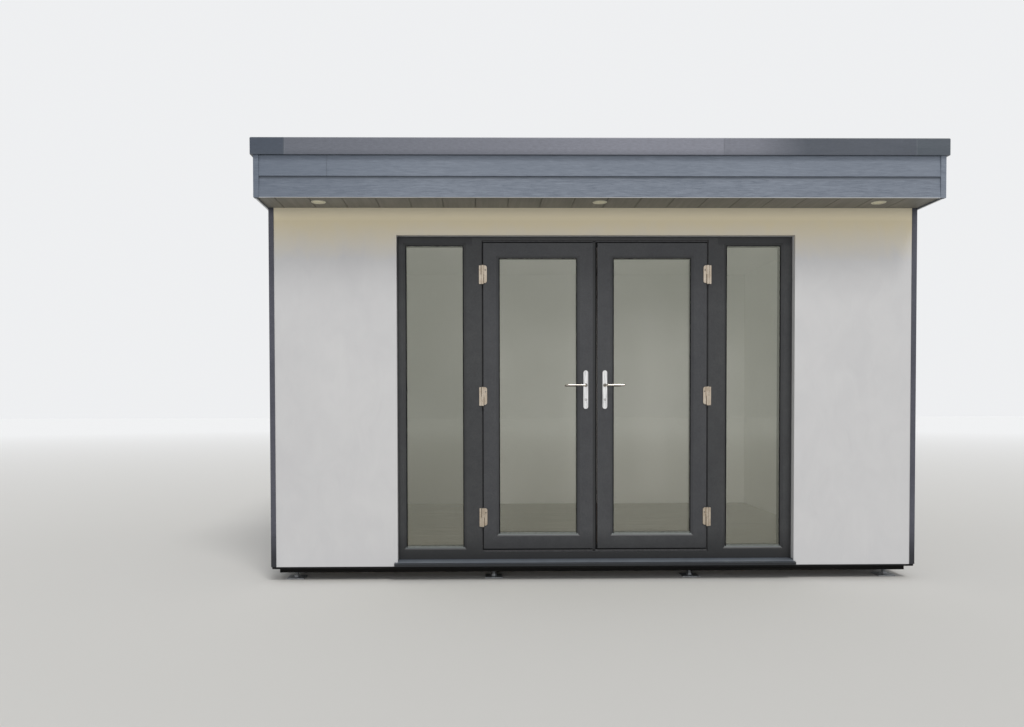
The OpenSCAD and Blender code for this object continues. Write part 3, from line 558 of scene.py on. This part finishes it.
# The pale ledge colours stand for dust and painted top light on upward faces
frame_foil = foil("frame_foil", paint(50, 51, 53), paint(60, 61, 62), dust_and_top_light=paint(98, 105, 107))
side_foil = foil("side_foil", paint(50, 51, 53), paint(60, 61, 62), dust_and_top_light=paint(98, 105, 107),
                 head_shade=0.55)
strip_foil = foil("strip_foil", paint(42, 43, 45), paint(50, 51, 52))
leaf_foil = foil("leaf_foil", paint(55, 56, 59), paint(65, 66, 68), dust_and_top_light=paint(116, 123, 122))
# The sill's last colour is a painted highlight towards its nose
sill_foil = foil("sill_foil", paint(52, 56, 62), paint(62, 66, 72), 0.36, dust_and_top_light=paint(80, 87, 96),
                 painted_nose_light=paint(114, 120, 128))
plate_metal = polished_metal("plate_metal", paint(244, 243, 241), paint(160, 160, 164), "Z")
lever_metal = polished_metal("lever_metal", paint(196, 190, 182), paint(142, 137, 132), "X")
nickel = satin_nickel()
zinc = galvanised()
dark_steel = blackened_steel()
base_timber = black_timber()
oak = oiled_oak()
panel = flake_panel()
board = painted_board()
sheet = rubber_sheet()
glass = window_glass()
gasket = gasket_rubber("gasket_rubber", paint(12, 12, 13), paint(30, 30, 31))
seal = gasket_rubber("seal_rubber", paint(58, 58, 60), paint(76, 76, 77))
joint_sealant = gasket_rubber("joint_sealant", paint(102, 109, 120), paint(112, 119, 129))
# Pale rubber: weathered, and lighter still as painted top light
pale_lit_gasket = gasket_rubber("weathered_rubber", paint(98, 102, 99), paint(118, 122, 119))

DRESS = {
    "feet": zinc,
    "base_rails": base_timber,
    "base_bearers": base_timber,
    "floor_panel": panel,
    "floor_boards": oak,
    "front_wall_left": panel,
    "front_wall_right": panel,
    "front_wall_over_door": panel,
    "left_wall": panel,
    "right_wall": panel,
    "back_wall": panel,
    "front_render": render_coat,
    "left_render": render_coat,
    "right_render": render_coat,
    "back_render": render_coat,
    "corner_trims": wall_trim,
    "wall_lining": board,
    "ceiling_board": board,
    "roof_panel": panel,
    "roof_membrane": sheet,
    "soffit_boards": soffit_paint,
    "downlight_bezels": lamp_metal(),
    "downlight_lenses": lamp_lens(),
    "fascia_boards": fascia_paint,
    "fascia_corner_trims": fascia_trim_paint,
    "fascia_closure_strip": mill_aluminium(),
    "roof_edge_lengths": edge_length,
    "roof_edge_corners": edge_corner,
    "door_sill": sill_foil,
    "door_frame": frame_foil,
    "left_sidelight_frame": side_foil,
    "right_sidelight_frame": side_foil,
    "sidelight_glass": glass,
    "left_leaf": leaf_foil,
    "right_leaf": leaf_foil,
    "left_leaf_glass": glass,
    "right_leaf_glass": glass,
    "meeting_strip": strip_foil,
    "frame_hinges": nickel,
    "left_leaf_hinges": nickel,
    "right_leaf_hinges": nickel,
    "left_handle_plates": plate_metal,
    "right_handle_plates": plate_metal,
    "left_levers": lever_metal,
    "right_levers": lever_metal,
}
for name, finish in DRESS.items():
    nodes[name].data.materials.clear()
    nodes[name].data.materials.append(finish)


# New pieces, in metres in the building's own place

# The axes of the leaves and of their levers, read from the joints
AXES = {joint["name"]: joint["pos_m"] for joint in frame["joints"]}
LEFT_HINGE_X, HINGE_Y, MIDDLE_HINGE_Z = AXES["left_door_swing"]
RIGHT_HINGE_X = AXES["right_door_swing"][0]
LEFT_SPINDLE_X, _, SPINDLE_Z = AXES["left_lever_turn"]
RIGHT_SPINDLE_X = AXES["right_lever_turn"][0]

# The three hinges of each leaf
HINGE_HALF = 59 * MM
LOWEST_HINGE, HIGHEST_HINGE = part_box("frame_hinges")
HINGE_ZS = (LOWEST_HINGE.z + HINGE_HALF, MIDDLE_HINGE_Z, HIGHEST_HINGE.z - HINGE_HALF)
HINGE_PLATE_FACE = FRAME_FACE - 7 * MM

# The handle plates, out of which the lock's cylinder stands on both faces of a leaf
CYLINDER_STANDS = 3 * MM
LOCK_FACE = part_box("left_handle_plates")[0].y
PLATE_FACE = LOCK_FACE + CYLINDER_STANDS
INNER_PLATE_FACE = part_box("left_handle_plates")[1].y - CYLINDER_STANDS
LOCK_Z = SPINDLE_Z - 92 * MM
PLATE_SCREW_ZS = (SPINDLE_Z + 77 * MM, SPINDLE_Z - 133 * MM)

# Turns from upright to standing out of the front, into the room and downwards
OUTWARDS = Matrix.Rotation(math.radians(90), 4, "X")
INWARDS = Matrix.Rotation(math.radians(-90), 4, "X")
DOWNWARDS = Matrix.Rotation(math.radians(180), 4, "X")


def finished_piece(name, bm, finish, body):
    """Makes a bmesh into a piece with its finish, which rides on that body."""
    bmesh.ops.remove_doubles(bm, verts=bm.verts, dist=0.001 * MM)
    bmesh.ops.recalc_face_normals(bm, faces=bm.faces)
    mesh = bpy.data.meshes.new(name)
    bm.to_mesh(mesh)
    bm.free()
    mesh.materials.append(finish)
    piece = bpy.data.objects.new(name, mesh)
    bpy.context.scene.collection.objects.link(piece)
    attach(piece, body)
    return piece


def add_bar(bm, low, high, edge, turn=None):
    """A bar from its lowest to its highest corner, with its edges eased. Returns its faces."""
    size = [b - a for a, b in zip(low, high)]
    middle = [(a + b) / 2 for a, b in zip(low, high)]
    place = Matrix.Translation(middle) @ (turn or Matrix()) @ Matrix.Diagonal((*size, 1))
    verts = bmesh.ops.create_cube(bm, size=1, matrix=place)["verts"]
    faces = {f for v in verts for f in v.link_faces}
    edges = {e for v in verts for e in v.link_edges}
    eased = bmesh.ops.bevel(bm, geom=list(edges), offset=edge, offset_type="OFFSET", affect="EDGES",
                            segments=2, profile=0.5, material=-1)
    return {f for f in faces if f.is_valid} | set(eased["faces"])


def add_ring(bm, low, high, width, thickness, place):
    """A flat rectangular ring drawn in its own plane, made thick and then put in its place."""
    earlier = set(bm.verts)
    middle = Matrix.Translation(((low[0] + high[0]) / 2, (low[1] + high[1]) / 2, 0))
    size = Matrix.Diagonal((high[0] - low[0], high[1] - low[1], 1, 1))
    made = bmesh.ops.create_grid(bm, x_segments=1, y_segments=1, size=0.5, matrix=middle @ size)
    opening = made["verts"][0].link_faces[0]
    border = bmesh.ops.inset_region(bm, faces=[opening], thickness=width, use_even_offset=True,
                                    use_boundary=True)["faces"]
    bmesh.ops.delete(bm, geom=[opening], context="FACES")
    grown = bmesh.ops.extrude_face_region(bm, geom=border)["geom"]
    risen = [v for v in grown if isinstance(v, bmesh.types.BMVert)]
    bmesh.ops.translate(bm, vec=(0, 0, thickness), verts=risen)
    rims = {e for v in risen for e in v.link_edges if e.other_vert(v) in risen and len(e.link_faces) == 2
            and e.calc_face_angle() > 1}
    bmesh.ops.bevel(bm, geom=list(rims), offset=thickness * 0.3, offset_type="OFFSET", affect="EDGES",
                    segments=2, profile=0.5, material=-1)
    bmesh.ops.transform(bm, matrix=place, verts=[v for v in bm.verts if v not in earlier])


def upright(y, outwards):
    """Stands a ring up in the wall's plane, growing outwards or into the room."""
    side = 1 if outwards else -1
    return Matrix(((1, 0, 0, 0), (0, 0, -side, y), (0, 1, 0, 0), (0, 0, 0, 1)))


def glazing_seals(name, body, panes):
    """Black rubber seals that press on both faces of each glass unit.

    The outer one is hidden at the foot, and all but a millimetre of it at the head.
    """
    outer, inner, stands = 5.5 * MM, 4 * MM, 3 * MM
    bm = bmesh.new()
    for left, right, low, high in panes:
        head = high + outer - MM
        add_ring(bm, (left, low - outer), (right, head), outer, stands, upright(GLASS_FACE, True))
        add_ring(bm, (left, low), (right, high), inner, stands, upright(GLASS_BACK, False))
    finished_piece(name, bm, gasket, body)


def lower_gaskets(name, body, panes):
    """The lower outer gasket of each pane, which rain and dust have turned pale, and paler still as painted
    light from above.
    """
    inset, stands, under, over = 5 * MM, 3.4 * MM, 5 * MM, 6.5 * MM
    bm = bmesh.new()
    for left, right, low, _ in panes:
        add_bar(bm, (left + inset, GLASS_FACE - stands, low - under),
                (right - inset, GLASS_FACE, low + over), MM)
    finished_piece(name, bm, pale_lit_gasket, body)


def weather_seals():
    """The rubber seals round the door rebate, which the closed leaves come up to."""
    side_gap, foot_gap, head_gap = 10 * MM, 23 * MM, 19 * MM
    (left, _, foot), (_, _, head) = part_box("left_leaf")
    left -= side_gap
    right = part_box("right_leaf")[1].x + side_gap
    low, high = foot - foot_gap, head + head_gap
    front, back = FRAME_FACE + 8 * MM, FRAME_FACE + 18 * MM
    side, foot_height, head_height = 4.5 * MM, 14 * MM, 12 * MM
    bm = bmesh.new()
    add_bar(bm, (left, front, low), (left + side, back, high), 1.2 * MM)
    add_bar(bm, (right - side, front, low), (right, back, high), 1.2 * MM)
    add_bar(bm, (left + side, front, high - head_height), (right - side, back, high), 1.5 * MM)
    add_bar(bm, (left + side, front, low), (right - side, back, low + foot_height), 1.5 * MM)
    finished_piece("weather_seals", bm, seal, "pod")


def meeting_seal():
    """The rubber fin on the meeting strip. Its tip stays just clear of the right leaf as that swings."""
    held, tip_gap, end_gap = 0.2 * MM, 3.5 * MM, MM
    strip_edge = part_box("meeting_strip")[1].x
    leaf_low, leaf_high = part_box("right_leaf")
    front, back = FRAME_FACE + 13.5 * MM, FRAME_FACE + 17 * MM
    bm = bmesh.new()
    add_bar(bm, (strip_edge - held, front, leaf_low.z + end_gap),
            (leaf_low.x - tip_gap, back, leaf_high.z - end_gap), 0.8 * MM)
    finished_piece("meeting_seal", bm, gasket, "left_door")


def frame_sealant():
    """The bead of sealant where the render's returns meet the frames."""
    lap, head_lap, width, depth = 3 * MM, 21 * MM, 6 * MM, 5 * MM
    frame_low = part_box("left_sidelight_frame")[0]
    frame_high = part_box("right_sidelight_frame")[1]
    left, right, foot, head = frame_low.x + lap, frame_high.x - lap, frame_low.z, frame_high.z - head_lap
    front = FRAME_FACE - depth
    bm = bmesh.new()
    add_bar(bm, (left, front, foot), (left + width, FRAME_FACE, head), 1.5 * MM)
    add_bar(bm, (right - width, front, foot), (right, FRAME_FACE, head), 1.5 * MM)
    add_bar(bm, (left + width - MM, front, head - width), (right - width + MM, FRAME_FACE, head), 1.5 * MM)
    finished_piece("frame_sealant", bm, seal, "pod")


def wall_base_track():
    """The dark track that carries the render's lower edge, all round the walls."""
    inset, under, width, height = 2 * MM, 0.5 * MM, 10 * MM, 13.5 * MM
    left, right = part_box("left_render")[0].x + inset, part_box("right_render")[1].x - inset
    front, back = COAT_FACE + inset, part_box("back_render")[1].y - inset
    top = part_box("front_render")[0].z - under
    hanging = Matrix.Translation((0, 0, top)) @ Matrix.Diagonal((1, 1, -1, 1))
    bm = bmesh.new()
    add_ring(bm, (left, front), (right, back), width, height, hanging)
    finished_piece("wall_base_track", bm, gasket, "pod")


def fascia_board_joint():
    """The sealed butt joint in the front's upper board, whose foot stands further out than its head."""
    joint_x, width, depth, clear, slant, set_back = -1.630, 3 * MM, 4 * MM, 0.5 * MM, 5.7 * MM, 3.4 * MM
    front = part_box("fascia_boards")[0].y + set_back
    foot, head = LAP_Z + clear, EDGE_FOOT_Z - clear
    bm = bmesh.new()
    add_bar(bm, (joint_x - width / 2, front, foot), (joint_x + width / 2, front + depth, head), 0.5 * MM)
    lower_half = [v for v in bm.verts if v.co.z < (foot + head) / 2]
    bmesh.ops.translate(bm, vec=(0, -slant, 0), verts=lower_half)
    finished_piece("fascia_board_joint", bm, joint_sealant, "pod")


def membrane_laps():
    """Two welded laps in the roof sheet, which follow its fall to the back."""
    low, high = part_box("roof_membrane")
    fall = math.atan2(35 * MM, high.y - low.y)
    slope = Matrix.Rotation(-fall, 4, "X")
    half_width, end_gap, foot, head = 35 * MM, 11 * MM, low.z + 20 * MM, low.z + 22.5 * MM
    seams = (-0.68, 0.64)
    bm = bmesh.new()
    for x in seams:
        add_bar(bm, (x - half_width, low.y + end_gap, foot), (x + half_width, high.y - end_gap, head),
                0.9 * MM, slope)
    finished_piece("membrane_laps", bm, sheet, "pod")


def floor_planks():
    """Oiled planks with eased edges, laid from side to side with staggered ends."""
    (left, sill, under), (right, back, top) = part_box("floor_boards")
    front = sill + 95 * MM
    rows, gap, shortest, full_length, stagger = 18, 0.8 * MM, 0.35, 1.75, 0.381966
    pitch = (back - front) / rows
    bm = bmesh.new()
    plank = bm.faces.layers.float.new("plank")
    shade = random.Random(11)

    def lay(low, high):
        tone = shade.random()
        for face in add_bar(bm, low, high, 1.2 * MM):
            face[plank] = tone

    for row in range(rows):
        y = front + row * pitch
        x = left
        length = 0.5 + 1.2 * ((row * stagger) % 1.0)
        while x < right - 10 * MM:
            end = x + length
            if right - end < shortest:
                end = right
            lay((x, y + gap / 2, under), (end - gap, y + pitch - gap / 2, top))
            x = end
            length = full_length
    door_low, door_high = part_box("left_sidelight_frame")[0].x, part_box("right_sidelight_frame")[1].x
    lay((door_low + 0.5 * MM, sill + 0.2 * MM, under), (door_high - 0.5 * MM, front - gap / 2, top))
    planks = finished_piece("floor_planks", bm, oak, "pod")
    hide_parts("floor_boards")


def foot_threads():
    """The screw thread on the stem of each foot, between its nut and its head plate."""
    half_plate, pitch, turns, first_z = 55 * MM, 2.8 * MM, 8, 21.5 * MM
    root, crest = 9.8 * MM, 11.2 * MM
    one_turn = ((root, 0), (crest, 1.2 * MM), (crest, 1.6 * MM), (root, pitch))
    low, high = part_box("feet")
    left, right = low.x + half_plate, high.x - half_plate
    front, back = low.y + half_plate, high.y - half_plate
    bm = bmesh.new()
    for column in range(4):
        x = left + (right - left) * column / 3
        for y in (front, (front + back) / 2, back):
            for turn in range(turns):
                z = first_z + turn * pitch
                rim = [bm.verts.new((x + radius, y, z + height)) for radius, height in one_turn]
                edges = [bm.edges.new(pair) for pair in zip(rim, rim[1:])]
                bmesh.ops.spin(bm, geom=rim + edges, cent=(x, y, z), axis=(0, 0, 1),
                               angle=math.tau, steps=16, use_merge=True)
    finished_piece("foot_threads", bm, zinc, "pod")


def add_button(bm, place, radius, height, boss):
    """A round head with an eased rim and a low six-sided boss, standing up from place."""
    made = bmesh.ops.create_cone(bm, cap_ends=True, segments=24, radius1=radius, radius2=radius, depth=height,
                                 matrix=place @ Matrix.Translation((0, 0, height / 2)))
    caps = (f for v in made["verts"] for f in v.link_faces if len(f.verts) > 4)
    top = max(caps, key=lambda f: (place.inverted() @ f.calc_center_median()).z)
    bmesh.ops.bevel(bm, geom=list(top.edges), offset=height * 0.4, offset_type="OFFSET", affect="EDGES",
                    segments=2, profile=0.5, material=-1)
    bmesh.ops.create_cone(bm, cap_ends=True, segments=6, radius1=boss, radius2=boss * 0.9, depth=0.4 * MM,
                          matrix=place @ Matrix.Translation((0, 0, height + 0.1 * MM)))


def add_knuckle_cap(bm, place):
    """The cap on one end of a hinge's knuckle."""
    add_button(bm, place, 8.4 * MM, 1.8 * MM, 2.4 * MM)


def hinge_fittings(name, body, axis_x, side):
    """A cap over each knuckle and an adjusting screw on each leaf plate."""
    screw_across, screw_up = side * 18.5 * MM, 30 * MM
    bm = bmesh.new()
    for z in HINGE_ZS:
        add_knuckle_cap(bm, Matrix.Translation((axis_x, HINGE_Y, z + HINGE_HALF)))
        screw = Matrix.Translation((axis_x + screw_across, HINGE_PLATE_FACE, z + screw_up)) @ OUTWARDS
        add_button(bm, screw, 4.6 * MM, 1.2 * MM, 2.6 * MM)
    finished_piece(name, bm, dark_steel, body)


def knuckle_feet():
    """The lower caps of the knuckles, on the halves fixed to the frame."""
    bm = bmesh.new()
    for axis_x in (LEFT_HINGE_X, RIGHT_HINGE_X):
        for z in HINGE_ZS:
            add_knuckle_cap(bm, Matrix.Translation((axis_x, HINGE_Y, z - HINGE_HALF)) @ DOWNWARDS)
    finished_piece("knuckle_feet", bm, dark_steel, "pod")


def add_washer(bm, place, inner, outer, height):
    """A flat ring with an eased outer rim, standing up from place."""
    earlier = set(bm.verts)
    ease = height * 0.4
    outline = ((inner, 0), (outer, 0), (outer, height - ease), (outer - ease, height), (inner, height))
    verts = [bm.verts.new((x, 0, z)) for x, z in outline]
    edges = [bm.edges.new(pair) for pair in zip(verts, verts[1:] + verts[:1])]
    bmesh.ops.spin(bm, geom=verts + edges, cent=(0, 0, 0), axis=(0, 0, 1), angle=math.tau,
                   steps=28, use_merge=True)
    bmesh.ops.transform(bm, matrix=place, verts=[v for v in bm.verts if v not in earlier])


def handle_rings(name, body, spindle_x):
    """Outside each door, a bearing ring round the lever's neck, and the rim and slot of the key's plug."""
    slot_half_width, slot_half_height, slot_front, slot_back = 1.4 * MM, 4.3 * MM, 2 * MM, 4.8 * MM
    bm = bmesh.new()
    neck = Matrix.Translation((spindle_x, PLATE_FACE, SPINDLE_Z)) @ OUTWARDS
    add_washer(bm, neck, 9.3 * MM, 11.8 * MM, 1.2 * MM)
    plug = Matrix.Translation((spindle_x, LOCK_FACE, LOCK_Z)) @ OUTWARDS
    add_washer(bm, plug, 5.2 * MM, 7.2 * MM, 0.4 * MM)
    add_bar(bm, (spindle_x - slot_half_width, LOCK_FACE + slot_front, LOCK_Z - slot_half_height),
            (spindle_x + slot_half_width, LOCK_FACE + slot_back, LOCK_Z + slot_half_height), 0.2 * MM)
    finished_piece(name, bm, dark_steel, body)


def plate_screws(name, body, spindle_x):
    """The two screws through each plate inside the room."""
    bm = bmesh.new()
    for z in PLATE_SCREW_ZS:
        screw = Matrix.Translation((spindle_x, INNER_PLATE_FACE, z)) @ INWARDS
        add_button(bm, screw, 4.2 * MM, MM, 2 * MM)
    finished_piece(name, bm, dark_steel, body)


glazing_seals("side_glass_seals", "pod", (LEFT_SIDE_PANE, RIGHT_SIDE_PANE))
glazing_seals("left_door_seals", "left_door", (LEFT_LEAF_PANE,))
glazing_seals("right_door_seals", "right_door", (RIGHT_LEAF_PANE,))
lower_gaskets("side_lower_gaskets", "pod", (LEFT_SIDE_PANE, RIGHT_SIDE_PANE))
lower_gaskets("left_lower_gasket", "left_door", (LEFT_LEAF_PANE,))
lower_gaskets("right_lower_gasket", "right_door", (RIGHT_LEAF_PANE,))
weather_seals()
meeting_seal()
frame_sealant()
wall_base_track()
fascia_board_joint()
membrane_laps()
floor_planks()
foot_threads()
hinge_fittings("left_hinge_fittings", "left_door", LEFT_HINGE_X, 1)
hinge_fittings("right_hinge_fittings", "right_door", RIGHT_HINGE_X, -1)
knuckle_feet()
handle_rings("left_handle_rings", "left_door", LEFT_SPINDLE_X)
handle_rings("right_handle_rings", "right_door", RIGHT_SPINDLE_X)
plate_screws("left_plate_screws", "left_door", LEFT_SPINDLE_X)
plate_screws("right_plate_screws", "right_door", RIGHT_SPINDLE_X)


# The floor, the light and the camera

SKY_SEEN = 0.88
SKY_LIGHT = 0.57


def studio_floor():
    """A pale floor that grows paler with distance, until it meets the backdrop."""
    bm = bmesh.new()
    bmesh.ops.create_grid(bm, x_segments=1, y_segments=1, size=60)
    mesh = bpy.data.meshes.new("studio_floor")
    bm.to_mesh(mesh)
    bm.free()
    floor = bpy.data.objects.new("studio_floor", mesh)
    bpy.context.scene.collection.objects.link(floor)
    f = Finish("studio_floor", paint(206, 205, 202), 0.9)
    away = f.node("ShaderNodeVectorMath", {"operation": "LENGTH"}, {0: f.place}, "Value")
    f.colour(f.between(f.span(away, 4, 30), paint(212, 211, 208), paint(251, 252, 253)))
    mesh.materials.append(f.material)


def add_sun(name, strength, height, turn, spread, mirrored=True):
    """A soft lamp at that height and turn from the front, in degrees. It may be left out of reflections."""
    lamp = bpy.data.lights.new(name, "SUN")
    lamp.energy = strength
    lamp.angle = math.radians(spread)
    lamp.color = (1.0, 0.985, 0.96)
    holder = bpy.data.objects.new(name, lamp)
    holder.rotation_euler = (math.radians(90 - height), 0, math.radians(turn))
    holder.visible_glossy = mirrored
    bpy.context.scene.collection.objects.link(holder)


def soft_light():
    """A pale sky, which is brighter where it is seen or mirrored than as a light, and two soft lamps."""
    scene = bpy.context.scene
    world = bpy.data.worlds.new("soft_sky")
    scene.world = world
    world.use_nodes = True
    sky = Wiring(world.node_tree)
    ray = world.node_tree.nodes.new("ShaderNodeLightPath").outputs
    seen = [Amount(sky, ray[name]) for name in ("Is Camera Ray", "Is Glossy Ray", "Is Transmission Ray")]
    share = sky.node("ShaderNodeMath", {"operation": "MINIMUM"}, {0: seen[0] + seen[1] + seen[2], 1: 1.0})
    sky.fill(world.node_tree.nodes["Background"], {
        "Color": (0.975, 0.985, 1.0, 1.0), "Strength": share * (SKY_SEEN - SKY_LIGHT) + SKY_LIGHT})
    add_sun("front_softbox", 1.05, 5, -12, 14, mirrored=False)
    add_sun("high_softbox", 1.27, 52, 20, 20)


def photo_camera():
    """The photograph's view: its place, tilt and lens."""
    scene = bpy.context.scene
    lens = bpy.data.cameras.new("front_camera")
    lens.sensor_width = 36.0
    lens.lens = 29.8
    lens.shift_x = 0.0210
    lens.shift_y = 0.0568
    lens.clip_end = 200.0
    camera = bpy.data.objects.new("front_camera", lens)
    camera.location = (-0.734, -6.714, 1.129)
    camera.rotation_euler = (math.radians(90 - 1.26), math.radians(0.14), math.radians(-0.8))
    scene.collection.objects.link(camera)
    scene.camera = camera


studio_floor()
soft_light()
photo_camera()
bpy.context.scene.view_settings.view_transform = "Standard"
